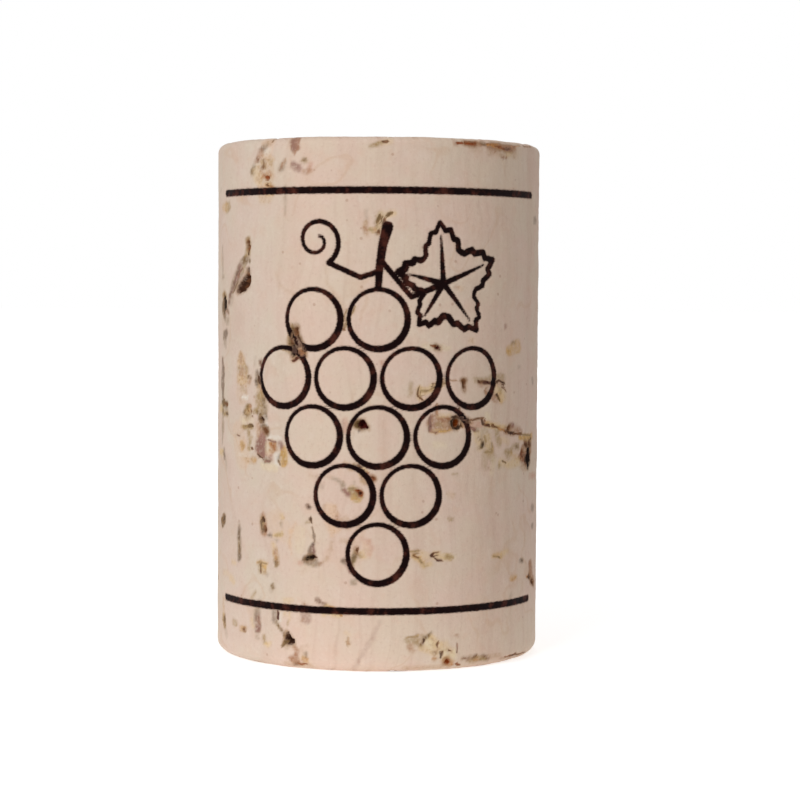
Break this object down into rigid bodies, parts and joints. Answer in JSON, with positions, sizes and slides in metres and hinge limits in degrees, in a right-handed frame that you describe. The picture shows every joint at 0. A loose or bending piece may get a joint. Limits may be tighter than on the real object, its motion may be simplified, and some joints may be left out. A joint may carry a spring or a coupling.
{
  "type": "cork stopper",
  "caption": "Straight natural cork stopper for a bottle neck, with worn rims, open pores and cracks, and a line-drawn bunch of grapes branded on one side.",
  "frame": {"origin": "centre of the lower end, on the stopper's axis, on the surface it stands on", "axes": "+Z along the stopper's axis from the lower end to the upper end; -Y faces the branded side, +X to its right"},
  "size_m": [0.0242, 0.0242, 0.038],
  "materials": {
    "cork": "matte, bare natural cork with a dry, slightly dusty feel"
  },
  "bodies": {
    "root": {"stopper": "cork"}
  },
  "joints": []
}
